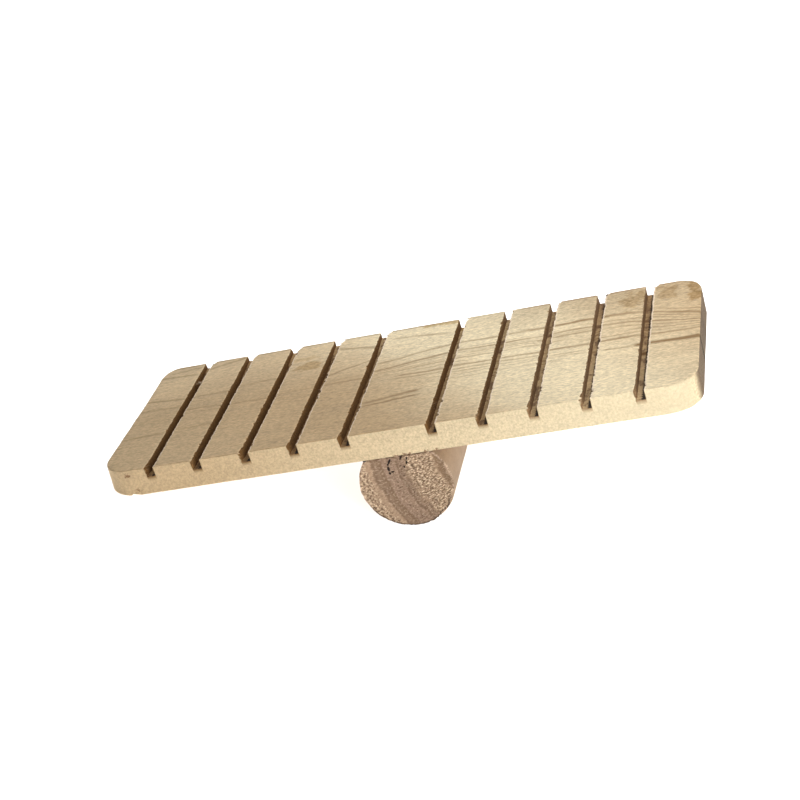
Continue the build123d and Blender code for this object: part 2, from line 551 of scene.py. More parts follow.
def make_rocker(material):
    """The round bar with its planed flat, sawn ends and a rim torn where the saw came out."""
    angles = rocker_angles()
    outline = rocker_outline(angles)
    rings = rocker_rings()
    count = len(angles)
    share = np.repeat([s for s, _ in rings], count)
    y = np.repeat([y for _, y in rings], count)
    angle = np.tile(angles, len(rings))
    edge = np.tile(outline, len(rings))

    from_rim = edge * (1 - share)
    from_end = ROCKER_HALF_LENGTH - np.abs(y)
    torn = np.tile(rocker_rim_damage(angles, outline), len(rings)) * np.where(y < 0, 1.0, 0.3)
    eased_rim, eased_end = eased(from_rim, from_end, 0.3 + 0.5 * torn)
    on_surface = np.minimum(from_rim, from_end) < CLOSE
    new_rim = np.where(on_surface, eased_rim, from_rim)
    new_end = np.where(on_surface, eased_end, from_end)
    reach = ROCKER_RIM_STEPS[-1]
    bite = torn * np.clip(1 - from_end / reach, 0, 1) * np.clip(1 - from_rim / reach, 0, 1)
    behind_end = smooth(y, -ROCKER_HALF_LENGTH, -ROCKER_HALF_LENGTH + 9) * smooth(-y, -25, 10)
    raised_side = smooth(np.cos(angle - math.radians(12)), 0.80, 0.99)
    radius = edge - new_rim - bite + ROCKER_BULGE * behind_end * raised_side * share
    side_y = np.sign(y) * (ROCKER_HALF_LENGTH - new_end)
    side_x = ROCKER_X + radius * np.cos(angle)
    side_z = ROCKER_Z + radius * np.sin(angle)
    points = np.stack([side_x, side_y, side_z], axis=1)

    on_end = from_end < CLOSE
    sink = 0.09 * (1 + wander(points, 0.75, 31)) + 0.06 * (1 + wander(points, 2.6, 32))
    points[:, 1] -= np.where(on_end, np.sign(y) * sink, 0)

    middles = [[ROCKER_X, side * (ROCKER_HALF_LENGTH - 0.1), ROCKER_Z] for side in (-1, 1)]
    points = np.concatenate([points, middles])
    faces = rocker_faces(count, len(rings))
    rim = np.clip(1.3 - (from_rim + from_end) / 0.6, 0, 1)
    marks = {"rim": np.append(rim, [0, 0])}
    rocker = make_object("round_rocker", points, faces, material, marks=marks)
    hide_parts("rocker")


# ---------------- torn fibres and glue

FIBRES_PER_RIM = 26
FIBRE_SEGMENTS = 4
FIBRE_SIDES = 3


def fibre(root, tip, thickness, curl):
    """One torn wood fibre: a thin curved tube that tapers to its tip, as points and faces."""
    root, tip = Vector(root), Vector(tip)
    aim = (tip - root).normalized()
    side = aim.cross(Vector((0, 1, 0.3))).normalized()
    upward = aim.cross(side)
    points, faces = [], []
    for s in range(FIBRE_SEGMENTS):
        share = s / FIBRE_SEGMENTS
        middle = root.lerp(tip, share) + Vector(curl) * share ** 2
        radius = thickness / 2 * (1 - 0.75 * share)
        for k in range(FIBRE_SIDES):
            angle = 2 * math.pi * k / FIBRE_SIDES
            points.append(middle + radius * (math.cos(angle) * side + math.sin(angle) * upward))
    points.append(tip + Vector(curl))
    for s in range(FIBRE_SEGMENTS - 1):
        for k in range(FIBRE_SIDES):
            a, b = s * FIBRE_SIDES + k, s * FIBRE_SIDES + (k + 1) % FIBRE_SIDES
            faces.append([a, b, b + FIBRE_SIDES, a + FIBRE_SIDES])
    last = (FIBRE_SEGMENTS - 1) * FIBRE_SIDES
    for k in range(FIBRE_SIDES):
        faces.append([last + k, last + (k + 1) % FIBRE_SIDES, len(points) - 1])
    faces.append(list(range(FIBRE_SIDES))[::-1])
    return points, faces


def rim_fibres(random):
    """Fibres that the saw left standing along both rims and on the floor of each groove."""
    for left, right in GROOVES:
        for side, wall in ((-1, left), (1, right)):
            for _ in range(FIBRES_PER_RIM):
                y = random.uniform(-HALF_WIDTH + 0.5, HALF_WIDTH - 0.5)
                down = 2.9 * random.random() ** 2 + 0.12
                length = 0.25 + 0.75 * random.random() ** 2
                root = (wall + side * 0.5, y, THICKNESS - down)
                lift = random.uniform(-0.15, 0.3) * length
                tip = (wall - side * length, y + random.uniform(-0.3, 0.3) * length, root[2] + lift)
                curl = (0, random.uniform(-0.15, 0.15), random.uniform(-0.12, 0.12))
                yield root, tip, random.uniform(0.05, 0.12), curl
        for _ in range(FIBRES_PER_RIM // 2):
            x = random.uniform(left + 0.2, right - 0.2)
            y = random.uniform(-HALF_WIDTH + 0.5, HALF_WIDTH - 0.5)
            root = (x, y, GROOVE_FLOOR - 0.15)
            tip = (x + random.uniform(-0.9, 0.9), y + random.uniform(-0.3, 0.3), GROOVE_FLOOR + 0.25)
            yield root, tip, random.uniform(0.06, 0.14), (0, 0, -0.1)


def make_fibres(material):
    """All the torn fibres, and a large split sliver that reaches over the first groove."""
    random = np.random.default_rng(7)
    points, faces = [], []
    strands = list(rim_fibres(random))
    rim = GROOVES[0][1]
    top = THICKNESS - 0.4
    strands.append(((rim + 0.5, 20.6, top), (rim - 1.9, 22.0, top + 0.15), 1.1, (0, 0, 0)))
    strands.append(((rim + 0.5, 21.3, top - 0.3), (rim - 2.6, 21.2, top - 0.2), 0.8, (0, 0, 0)))
    for strand in strands:
        new_points, new_faces = fibre(*strand)
        faces += [[len(points) + i for i in face] for face in new_faces]
        points += new_points
    points = np.array(points)
    points[:, 0] = saw_drift(points[:, 0])
    make_object("torn_fibres", points, faces, material, smooth_below=80)


def round_drop(middle, radii, around=12, levels=6):
    """A small egg-shaped drop, as points and faces."""
    points = []
    for level in range(1, levels):
        polar = math.pi * level / levels
        for k in range(around):
            turn = 2 * math.pi * k / around
            ball = (math.sin(polar) * math.cos(turn), math.sin(polar) * math.sin(turn), math.cos(polar))
            points.append(tuple(m + r * b for m, r, b in zip(middle, radii, ball)))
    top, bottom = len(points), len(points) + 1
    points.append((middle[0], middle[1], middle[2] + radii[2]))
    points.append((middle[0], middle[1], middle[2] - radii[2]))
    faces = []
    for k in range(around):
        after = (k + 1) % around
        faces.append([top, k, after])
        for level in range(levels - 2):
            a, b = level * around + k, level * around + after
            faces.append([a, a + around, b + around, b])
        last = (levels - 2) * around
        faces.append([bottom, last + after, last + k])
    return points, faces


def bead_section(side, size):
    """The glue's (x, z) outline on one side: out along the flat, down the rocker, up to the board."""
    drop = FLAT_CORNER - 1.15 * size / ROCKER_RADIUS
    foot = (ROCKER_X + side * ROCKER_RADIUS * math.cos(drop), ROCKER_Z + ROCKER_RADIUS * math.sin(drop))
    tip = (ROCKER_X + side * (HALF_FLAT + size), -0.005)
    middle_x = 0.5 * (foot[0] + tip[0]) - side * 0.18 * size
    middle_z = 0.5 * (foot[1] + tip[1]) + 0.05 * size
    root = (ROCKER_X + side * HALF_FLAT, ROCKER_FLAT_Z)
    inner = (ROCKER_X + side * (HALF_FLAT - 1.0), ROCKER_FLAT_Z)
    return [inner, root, foot, (middle_x, middle_z), tip]


def make_glue(material):
    """The glue line and the uneven bead that it pressed out along both sides of the rocker's flat."""
    ys = spread(-GLUE_HALF_LENGTH, GLUE_HALF_LENGTH, 0.5)
    along = [(0.0, y, 0.0) for y in ys]
    sections = []
    for side, seed in ((-1, 41), (1, 42)):
        bead = 0.75 + 0.35 * wander(along, 6.0, seed) + 0.2 * wander(along, 1.8, seed + 5)
        sections.append((side, np.clip(bead, 0.3, 1.3)))
    rows = []
    for j, y in enumerate(ys):
        left, right = (bead_section(side, bead[j]) for side, bead in sections)
        rows.append([(x, y, z) for x, z in right + left[::-1]])
    count = len(rows[0])
    points = [p for row in rows for p in row]
    faces = []
    for j in range(len(rows) - 1):
        for a in range(count):
            b = (a + 1) % count
            faces.append([j * count + a, j * count + b, (j + 1) * count + b, (j + 1) * count + a])
    faces.append(list(range(count))[::-1])
    faces.append([(len(rows) - 1) * count + a for a in range(count)])
    # The drop's glue is painted near black by its material, as the shadow in the gap at the corner.
    corner_drop = (ROCKER_X - HALF_FLAT - 0.8, 0.2 - ROCKER_HALF_LENGTH, ROCKER_FLAT_Z - 0.75)
    drop_points, drop_faces = round_drop(corner_drop, (0.65, 0.5, 0.5))
    faces += [[len(points) + i for i in face] for face in drop_faces]
    points += drop_points
    glue = make_object("dried_glue", points, faces, material, smooth_below=60)
    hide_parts("glue_film")


# ---------------- materials


class Shader:
    """One material's node tree, built with short calls. Positions are in the board's frame, in mm."""

    def __init__(self, name):
        self.material = bpy.data.materials.new(name)
        self.material.use_nodes = True
        self.tree = self.material.node_tree
        self.tree.nodes.clear()
        coordinates = self.tree.nodes.new("ShaderNodeTexCoord")
        to_board = BOARD.inverted()
        turn = to_board.to_euler()
        placing = {
            "Vector": coordinates.outputs["Object"],
            "Location": to_board.to_translation() / MM,
            "Rotation": turn,
            "Scale": Vector((1, 1, 1)) / MM,
        }
        self.place = self.add("ShaderNodeMapping", placing)
        turning = {"Vector": coordinates.outputs["Normal"], "Rotation": turn}
        self.normal = self.add("ShaderNodeMapping", turning, vector_type="VECTOR")

    def add(self, kind, inputs, output=0, **settings):
        """Adds a node, sets or links its inputs, and returns one of its outputs."""
        node = self.tree.nodes.new(kind)
        for name, value in settings.items():
            setattr(node, name, value)
        for name, value in inputs.items():
            if isinstance(value, bpy.types.NodeSocket):
                self.tree.links.new(value, node.inputs[name])
            else:
                node.inputs[name].default_value = value
        return node.outputs[output]

    def maths(self, operation, *values):
        return self.add("ShaderNodeMath", dict(enumerate(values)), operation=operation)

    def vector(self, operation, *values, output=0, **named):
        inputs = {**dict(enumerate(values)), **named}
        return self.add("ShaderNodeVectorMath", inputs, output, operation=operation)

    def split(self, vector):
        node = self.add("ShaderNodeSeparateXYZ", {"Vector": vector}).node
        return node.outputs[0], node.outputs[1], node.outputs[2]

    def noise(self, place, scale=1.0, detail=3.0, roughness=0.5, stretch=(1, 1, 1)):
        """Noise from 0 to 1. stretch lengthens its features along each axis."""
        squeezed = self.vector("DIVIDE", place, stretch)
        inputs = {"Vector": squeezed, "Scale": scale, "Detail": detail, "Roughness": roughness}
        return self.add("ShaderNodeTexNoise", inputs)

    def scale(self, value, low, high, start, stop, curve="LINEAR"):
        """A straight line: start at low, stop at high, held beyond them."""
        inputs = {"Value": value, "From Min": low, "From Max": high, "To Min": start, "To Max": stop}
        return self.add("ShaderNodeMapRange", inputs, interpolation_type=curve)

    def step(self, value, low, high, start=0.0, stop=1.0):
        """An S curve: start at low, stop at high."""
        return self.scale(value, low, high, start, stop, "SMOOTHSTEP")

    def sway(self, noise, start, stop):
        """Carries the usual range of a noise to start and stop."""
        return self.scale(noise, 0.3, 0.7, start, stop)

    def hill(self, value, middle, half_width):
        """1 at middle, falling to 0 half_width away on both sides."""
        away = self.maths("ABSOLUTE", self.minus(value, middle))
        return self.step(away, 0.0, half_width, 1.0, 0.0)

    def total(self, *values):
        return reduce(partial(self.maths, "ADD"), values)

    def product(self, *values):
        return reduce(partial(self.maths, "MULTIPLY"), values)

    def largest(self, *values):
        return reduce(partial(self.maths, "MAXIMUM"), values)

    def minus(self, value, other):
        return self.maths("SUBTRACT", value, other)

    def mix(self, share, one, two, blend="MIX"):
        """From one colour to another. Each is another node's output or a plain (red, green, blue)."""
        one, two = ((*colour, 1.0) if isinstance(colour, tuple) else colour for colour in (one, two))
        inputs = {0: share, 6: one, 7: two}
        return self.add("ShaderNodeMix", inputs, 2, data_type="RGBA", blend_type=blend)

    def ramp(self, value, stops, interpolation="LINEAR"):
        """Colours along a value. stops are (place, colour)."""
        node = self.add("ShaderNodeValToRGB", {0: value}).node
        band = node.color_ramp
        band.interpolation = interpolation
        while len(band.elements) < len(stops):
            band.elements.new(0.5)
        for element, (place, colour) in zip(band.elements, stops):
            element.position = place
            element.color = (*colour, 1.0)
        return node.outputs[0]

    def mark(self, name):
        """A named value that the mesh carries."""
        return self.add("ShaderNodeAttribute", {}, 2, attribute_name=name)

    def finish(self, colour, roughness, height, relief, specular=0.25):
        """Ends the tree: relief is how far, in millimetres, a height of 1 stands up."""
        bump = self.add("ShaderNodeBump", {"Height": height, "Distance": relief * MM, "Strength": 1.0})
        inputs = {"Base Color": colour, "Roughness": roughness, "Normal": bump}
        inputs["Specular IOR Level"] = specular
        surface = self.add("ShaderNodeBsdfPrincipled", inputs)
        out = self.tree.nodes.new("ShaderNodeOutputMaterial")
        self.tree.links.new(surface, out.inputs["Surface"])
        return self.material


# The board's growth lines rise by an arch towards its middle: place along the board, height in mm.
ARCH_FROM, ARCH_TO = -20.0, 100.0
ARCH_LOWEST, ARCH_HIGHEST = -9.0, 1.5
ARCH = [
    (-20.0, -6.8),
    (-11.0, -6.0),
    (-2.0, -3.2),
    (8.0, -0.6),
    (18.0, 0.0),
    (45.0, 0.2),
    (60.0, 1.2),
    (72.0, 0.2),
    (81.0, -2.0),
    (89.0, -5.0),
    (100.0, -9.0),
]

# Growth lines that follow the arch: height across the board, from x, to x, half width, strength.
ARCHED_LINES = [
    (19.8, 74, 99, 0.55, 0.5),
    (17.3, 38, 99, 0.75, 0.85),
    (17.1, -12, 40, 0.55, 0.6),
    (15.4, 76, 99, 0.45, 0.55),
    (13.7, 58, 99, 0.5, 0.5),
    (12.9, 18, 50, 0.4, 0.35),
    (11.3, -12, 99, 0.6, 0.75),
    (9.8, -9, 60, 0.4, 0.4),
    (8.7, 20, 99, 0.5, 0.6),
    (7.4, -11, 52, 0.4, 0.4),
    (6.0, 74, 99, 0.5, 0.65),
    (5.8, -4, 52, 0.5, 0.55),
    (3.5, 58, 99, 0.4, 0.45),
    (3.2, -12, 22, 0.4, 0.35),
    (0.7, -3, 97, 0.6, 0.75),
    (-1.7, -3, 48, 0.5, 0.55),
    (-3.5, 14, 60, 0.4, 0.4),
    (-5.0, 10, 64, 0.35, 0.35),
    (-7.3, 14, 52, 0.4, 0.3),
]

# Growth lines that stand alone: middle x, middle y, half length, half width, slope, strength.
LONE_LINES = [
    (86.0, -5.7, 12.0, 1.05, -0.02, 1.6),
    (71.0, -5.2, 6.0, 0.55, 0.0, 0.55),
    (-2.0, -13.3, 10.0, 0.65, 0.17, 0.8),
    (-2.0, -15.9, 10.0, 0.55, 0.13, 0.75),
    (-88.0, 11.0, 9.0, 0.55, -0.12, 0.55),
    (-70.0, 10.2, 10.0, 0.5, 0.03, 0.5),
    (-55.0, 13.0, 9.0, 0.5, 0.14, 0.5),
    (-88.0, 4.6, 9.0, 0.6, 0.03, 0.4),
    (-71.0, 0.9, 10.0, 0.5, -0.03, 0.4),
    (-53.0, 0.3, 8.0, 0.5, 0.0, 0.4),
    (-71.0, -1.9, 9.0, 0.45, 0.0, 0.3),
    (-38.0, 2.0, 8.0, 0.45, 0.04, 0.3),
    (-87.0, -13.6, 9.0, 0.6, 0.07, 0.35),
    (-69.0, -11.5, 7.0, 0.5, 0.06, 0.35),
    (-88.0, 27.8, 8.0, 0.6, -0.05, 0.5),
    (-86.0, 31.5, 6.0, 0.5, 0.15, 0.45),
    (-70.0, 32.0, 7.0, 0.7, 0.35, 0.55),
    (-21.0, 12.4, 8.0, 0.55, 0.48, 0.6),
    (-21.0, 26.6, 8.0, 0.7, -0.28, 0.6),
    (-21.0, 2.8, 8.0, 0.5, 0.08, 0.6),
    (-21.0, 4.8, 8.0, 0.4, 0.05, 0.35),
    (1.0, 27.4, 11.0, 0.6, -0.14, 0.55),
]

# Olive-brown stains on the board: middle (x, y), half length, half width, strength.
STAINS = [
    (-37.0, 19.5, 5.0, 3.2, 0.75),
    (-40.0, 24.5, 5.0, 1.8, 0.45),
    (72.5, 26.5, 3.2, 6.0, 0.7),
    (84.0, 28.0, 3.2, 5.5, 0.65),
    (93.0, 26.5, 2.6, 8.0, 1.0),
    (75.5, 30.0, 1.6, 3.4, 0.7),
    (86.0, 30.5, 1.7, 2.6, 0.7),
    (9.0, 34.3, 7.0, 1.6, 0.9),
]

# Small brown marks on the front face: middle (x, z), radius.
BRUISES = [
    (-86.6, 7.6, 0.8),
    (-84.9, 1.9, 0.6),
    (1.2, -0.1, 0.8),
    (3.6, 0.0, 0.7),
    (5.6, 0.0, 0.7),
    (10.8, 0.1, 0.6),
    (14.2, 0.1, 0.7),
]

# How pale the top is, along a slanting line across the board: place in mm, share of cream. The paleness
# is partly the wood's sapwood and partly painted light: a painted soft shadow over the low, front part
# of the top, and painted light and sheen over its raised, back part.
PALE_FROM, PALE_TO = -120.0, 120.0
PALE_SLANT = 0.9  # mm along the board for each mm across it
SAPWOOD_AND_PAINTED_LIGHT = [
    (-120.0, 0.22),
    (-78.0, 0.15),
    (-48.0, 0.08),
    (-24.0, 0.08),
    (0.0, 0.38),
    (16.0, 0.78),
    (30.0, 1.00),
    (46.0, 1.00),
    (62.0, 0.85),
    (82.0, 0.50),
    (120.0, 0.10),
]
HEART_TAN = (0.470, 0.318, 0.165)
SAP_CREAM = (0.780, 0.655, 0.430)
LINE_BROWN = (0.240, 0.145, 0.058)
END_BROWN = (0.180, 0.122, 0.072)
ARRIS_PINK_AND_HIGHLIGHT = (0.860, 0.700, 0.540)
STAIN_TINT = (0.58, 0.46, 0.24)
BRUISE_BROWN = (0.170, 0.080, 0.035)
BACK_RIM_BROWN = (0.24, 0.155, 0.085)
FUZZ_TINT = (0.72, 0.60, 0.48)
FLOOR_SPOT_BROWN = (0.16, 0.085, 0.040)
# A painted shadow: the dark strip on each groove's floor along its right wall.
PAINTED_FLOOR_SHADOW = (0.030, 0.017, 0.010)
# Groove walls: end-grain brown with painted shade inside the grooves; the first set is the darker,
# shaded set for the low half, the second the lighter, lit set for the raised half.
SHADED_WALL_BROWNS = [(0.3, (0.200, 0.098, 0.026)), (0.7, (0.110, 0.049, 0.011))]
LIT_WALL_BROWNS = [(0.3, (0.360, 0.225, 0.115)), (0.7, (0.170, 0.095, 0.040))]
FINE_LINE_SPACING = 1.1


def even_shares(stops, start, stop, low, high):
    """Turns (place, height) stops into grey ramp stops over start to stop and low to high."""
    return [((x - start) / (stop - start), ((v - low) / (high - low),) * 3) for x, v in stops]


def growth_lines(s, x, y, wavy, patchy):
    """The drawn growth lines as one darkness, each wavering and fading in and out along its length."""
    along = s.scale(x, ARCH_FROM, ARCH_TO, 0.0, 1.0)
    arch = s.ramp(along, even_shares(ARCH, ARCH_FROM, ARCH_TO, ARCH_LOWEST, ARCH_HIGHEST), "B_SPLINE")
    arch = s.scale(arch, 0.0, 1.0, ARCH_LOWEST, ARCH_HIGHEST)
    wobble = s.scale(wavy, 0.25, 0.75, -0.7, 0.7)
    height = s.total(y, s.product(arch, s.step(y, -3.0, 9.0), -1.0), wobble)
    parts = []
    for middle, start, stop, half_width, strength in ARCHED_LINES:
        ends = s.product(s.step(x, start - 3, start + 3), s.step(x, stop - 3, stop + 3, 1.0, 0.0))
        parts.append(s.product(s.hill(height, middle, half_width * 1.9), ends, strength))
    for middle_x, middle_y, half_length, half_width, slope, strength in LONE_LINES:
        ends = s.step(s.hill(x, middle_x, half_length * 1.2), 0.0, 0.3)
        centre = s.total(s.product(s.minus(x, middle_x), slope), middle_y, wobble)
        across = s.hill(s.minus(y, centre), 0.0, half_width * 1.9)
        parts.append(s.product(across, ends, strength))
    return s.product(s.largest(*parts), patchy)


def stain_blots(s, x, y):
    """How stained the board is: ragged spots with a darker rim."""
    ragged = s.scale(s.noise(s.place, 0.35, 4.0, 0.6, (1.3, 1, 1)), 0.25, 0.75, -0.8, 0.8)
    spots = []
    for middle_x, middle_y, half_length, half_width, strength in STAINS:
        u = s.maths("DIVIDE", s.minus(x, middle_x), half_length)
        v = s.maths("DIVIDE", s.minus(y, middle_y), half_width)
        away = s.total(s.maths("SQRT", s.total(s.product(u, u), s.product(v, v))), ragged)
        spots.append(s.step(away, 0.65, 1.15, strength, 0.0))
    return s.largest(*spots)


def bruise_marks(s, ragged):
    """How brown each small mark on the front face is."""
    marks = []
    for x, z, radius in BRUISES:
        away = s.vector("DISTANCE", s.place, (x, -HALF_WIDTH, z), output=1)
        away = s.total(away, s.sway(ragged, -0.6, 0.6))
        marks.append(s.step(away, 0.5 * radius, 1.2 * radius, 1.0, 0.0))
    return s.largest(*marks)


def board_patterns(s):
    """Where each spot of the board is, which way it faces, and the noises that its wood is made of."""
    x, y, z = s.split(s.place)
    facing_x, facing_y, facing_z = s.split(s.normal)
    return SimpleNamespace(
        x=x,
        y=y,
        z=z,
        flat_face=s.step(facing_z, 0.6, 0.85),
        long_edge=s.step(s.maths("ABSOLUTE", facing_y), 0.55, 0.85),
        end_grain=s.step(s.maths("ABSOLUTE", facing_x), 0.84, 0.99),
        wavy=s.noise(s.place, 0.14, 3.0, 0.55, (1.8, 1, 1)),
        patchy=s.scale(s.noise(s.place, 0.20, 3.0, 0.6, (3, 1, 1)), 0.32, 0.62, 0.55, 1.0),
        streaks=s.noise(s.place, 1.3, 5.0, 0.62, (20, 1, 1)),
        broad_streaks=s.noise(s.place, 0.30, 3.0, 0.55, (9, 1, 1)),
        mottle=s.noise(s.place, 0.05, 3.0, 0.55, (1.6, 1, 1)),
        specks=s.noise(s.place, 1.55, 3.0, 0.7, (2.2, 1, 1)),
        grains=s.noise(s.place, 1.45, 3.0, 0.7),
        pores=s.noise(s.place, 1.6, 3.0, 0.65),
    )


def wood_and_painted_light(s, board):
    """The wood's colour: from tan heartwood to cream sapwood, with streaks, specks and grains, and with
    painted light and shade over it. The slant to cream is partly painted light; the paler back of the
    low half, the brighter low end and the front face's cream towards the raised end are painted light;
    the darker back of the raised half and the front face's darkening towards the raised end are painted
    shade.
    """
    x, y = board.x, board.y
    # Painted light: the slant from tan to cream is partly sapwood and partly a painted soft shadow over
    # the low, front part of the top and painted light and sheen over its raised, back part.
    slant = s.total(x, s.product(y, PALE_SLANT), s.sway(board.mottle, -10.0, 10.0))
    sap_and_light = s.scale(slant, PALE_FROM, PALE_TO, 0.0, 1.0)
    sap_and_light = s.ramp(sap_and_light, even_shares(SAPWOOD_AND_PAINTED_LIGHT, PALE_FROM, PALE_TO, 0.0, 1.0), "B_SPLINE")
    # Painted light over the back of the low half, which is made paler and brighter; painted shade over
    # the back of the raised half, which is made darker.
    back_low_painted_light = s.product(s.step(y, -5.0, 33.0), s.step(x, 20.0, -50.0))
    back_raised_painted_shade = s.product(s.step(y, 12.0, 30.0), s.step(x, 0.0, 50.0))
    sap_and_light = s.total(sap_and_light, s.product(back_low_painted_light, 0.25))
    # Painted light: on the front face the cream share rises towards the raised end.
    sap_and_light = s.scale(board.long_edge, 0.0, 1.0, sap_and_light, s.scale(x, -60.0, 60.0, 0.2, 0.9))
    top_shade = s.total(
        s.scale(board.streaks, 0.25, 0.75, -0.10, 0.10),
        s.sway(board.broad_streaks, -0.06, 0.06),
        s.sway(board.mottle, 0.05, -0.05),
        s.sway(board.specks, -0.26, 0.26),
        # Painted light: the low end of the top is brightened.
        s.step(slant, -40.0, -80.0, 0.0, 0.14),
        s.product(back_low_painted_light, 0.14),
        s.product(back_raised_painted_shade, -0.22),
        1.0,
    )
    edge_shade = s.total(
        s.sway(board.broad_streaks, -0.03, 0.03),
        s.product(s.scale(board.grains, 0.32, 0.68, -0.19, 0.16), s.scale(x, 20.0, 90.0, 1.0, 0.5)),
        # Painted shade: the front face darkens towards the raised end.
        s.scale(x, -60.0, 60.0, 0.93, 0.76),
    )
    shade = s.scale(board.long_edge, 0.0, 1.0, top_shade, edge_shade)
    return s.vector("SCALE", s.mix(sap_and_light, HEART_TAN, SAP_CREAM), Scale=shade)


def marked_wood(s, board, wood, lines):
    """Growth lines, stains, small bruises and darker brown patches along the back rim, over the wood.
    """
    wave = s.total(board.y, s.product(board.wavy, 9.0))
    fine_wave = s.maths("SINE", s.product(wave, 2 * math.pi / FINE_LINE_SPACING))
    fine_strength = s.scale(board.broad_streaks, 0.4, 0.65, 0.0, 0.26)
    fine_lines = s.product(s.step(fine_wave, 0.3, 1.0), fine_strength, board.flat_face)
    wood = s.mix(s.product(s.total(lines, fine_lines), 1.05), wood, LINE_BROWN)
    blot = s.product(stain_blots(s, board.x, board.y), s.sway(board.specks, 1.0, 0.55))
    wood = s.mix(blot, wood, STAIN_TINT, "MULTIPLY")
    wood = s.mix(s.product(bruise_marks(s, board.grains), 0.8), wood, BRUISE_BROWN)
    # Darker brown in patches along the back rim.
    back_rim = s.product(
        s.step(board.y, HALF_WIDTH - 1.0, HALF_WIDTH - 0.3),
        s.step(board.z, THICKNESS - 1.5, THICKNESS - 0.8),
    )
    dark_patches = s.product(back_rim, s.step(board.broad_streaks, 0.35, 0.6), 0.65)
    return s.mix(dark_patches, wood, BACK_RIM_BROWN)


def groove_wood(s, board, wood):
    """The inside of a groove: brown torn walls, darkened by painted shade and more so in the low half,
    and a fuzzy floor with a painted shadow of its right wall along its right side.
    """
    floor_spots = s.step(s.noise(s.place, 0.40, 4.0, 0.6, (1, 1.8, 1)), 0.50, 0.60, 0.0, 0.85)
    fuzzy = s.mix(1.0, wood, FUZZ_TINT, "MULTIPLY")
    floor_colour = s.mix(floor_spots, fuzzy, FLOOR_SPOT_BROWN)
    ragged_across = s.total(s.mark("across_groove"), s.sway(board.pores, -0.10, 0.10))
    # Painted shadow: the floor darkens towards its right wall, which shades it.
    floor_colour = s.mix(s.step(ragged_across, 0.42, 0.60), floor_colour, PAINTED_FLOOR_SHADOW)
    # Painted shade: the walls' brown is darker in the low half than in the raised half.
    shaded_wall = s.ramp(board.pores, SHADED_WALL_BROWNS)
    lit_wall = s.ramp(board.pores, LIT_WALL_BROWNS)
    wall_colour = s.mix(s.step(board.x, 15.0, 60.0), shaded_wall, lit_wall)
    return s.mix(board.flat_face, wall_colour, floor_colour)


def board_wood():
    """Softwood, tan to cream partly by painted light and shade: growth lines, fibre streaks and specks,
    stains, brown end grain, groove walls and floors with painted shade, and pale rims that are partly
    painted highlight.
    """
    s = Shader("pale_softwood")
    board = board_patterns(s)
    on_top = s.scale(board.long_edge, 0.0, 1.0, 1.0, 0.0)
    lines = s.product(growth_lines(s, board.x, board.y, board.wavy, board.patchy), on_top)
    wood = marked_wood(s, board, wood_and_painted_light(s, board), lines)
    end_shade = s.total(s.sway(board.pores, 0.60, 1.35), s.product(lines, -0.6))
    wood = s.mix(board.end_grain, wood, s.vector("SCALE", END_BROWN, Scale=end_shade))
    wood = s.mix(s.product(s.mark("groove"), 0.95), wood, groove_wood(s, board, wood))
    # The pale rims are partly torn, paler fibre and partly painted highlight.
    crumbly = s.scale(board.grains, 0.35, 0.65, 0.25, 0.90)
    arris_and_highlight = s.product(s.step(s.mark("rim"), 0.30, 0.75), crumbly)
    wood = s.mix(arris_and_highlight, wood, ARRIS_PINK_AND_HIGHLIGHT)

    rough_faces = s.largest(board.end_grain, s.mark("groove"))
    height = s.total(
        s.scale(board.streaks, 0.0, 1.0, -0.4, 0.4),
        s.scale(board.specks, 0.0, 1.0, -0.8, 0.8),
        s.product(lines, -0.6),
        s.product(board.long_edge, s.scale(board.grains, 0.0, 1.0, -1.0, 1.0)),
        s.product(rough_faces, s.scale(board.pores, 0.0, 1.0, -1.5, 1.5)),
    )
    roughness = s.total(s.scale(board.streaks, 0.2, 0.8, 0.66, 0.78), s.product(rough_faces, 0.15))
    return s.finish(wood, roughness, height, 0.07)


# The rocker's growth bands: distance from the tree's heart, in millimetres, and wood colour.
HEART = (40.0, 0.0, -2.0)
BAND_FROM, BAND_TO = 22.0, 58.0
ROCKER_BANDS = [
    (22.0, (0.330, 0.222, 0.142)),
    (25.6, (0.310, 0.206, 0.132)),
    (26.3, (0.175, 0.107, 0.062)),
    (28.0, (0.185, 0.115, 0.066)),
    (28.9, (0.335, 0.225, 0.140)),
    (37.4, (0.310, 0.206, 0.130)),
    (38.2, (0.240, 0.155, 0.100)),
    (39.6, (0.250, 0.162, 0.106)),
    (40.1, (0.160, 0.100, 0.062)),
    (40.8, (0.275, 0.180, 0.120)),
    (44.6, (0.270, 0.177, 0.120)),
    (45.3, (0.180, 0.112, 0.068)),
    (46.4, (0.215, 0.138, 0.086)),
    (47.2, (0.245, 0.160, 0.102)),
    (47.9, (0.185, 0.116, 0.072)),
    (48.6, (0.350, 0.235, 0.150)),
    (58.0, (0.370, 0.250, 0.160)),
]
PIT_SHADE_BROWN = (0.060, 0.034, 0.020)
CRUMB_CREAM_AND_HIGHLIGHT = (0.880, 0.690, 0.470)
SIDE_BEIGE = (0.325, 0.236, 0.156)
STREAK_BROWN = (0.26, 0.165, 0.10)
RIM_CREAM_AND_HIGHLIGHT = (0.72, 0.55, 0.42)
RIM_PAINTED_SHADOW = (0.055, 0.032, 0.018)
PORE_SHADE_BLACK = (0.016, 0.010, 0.007)
SHADE_UNDER_BOARD_BROWN = (0.050, 0.026, 0.014)


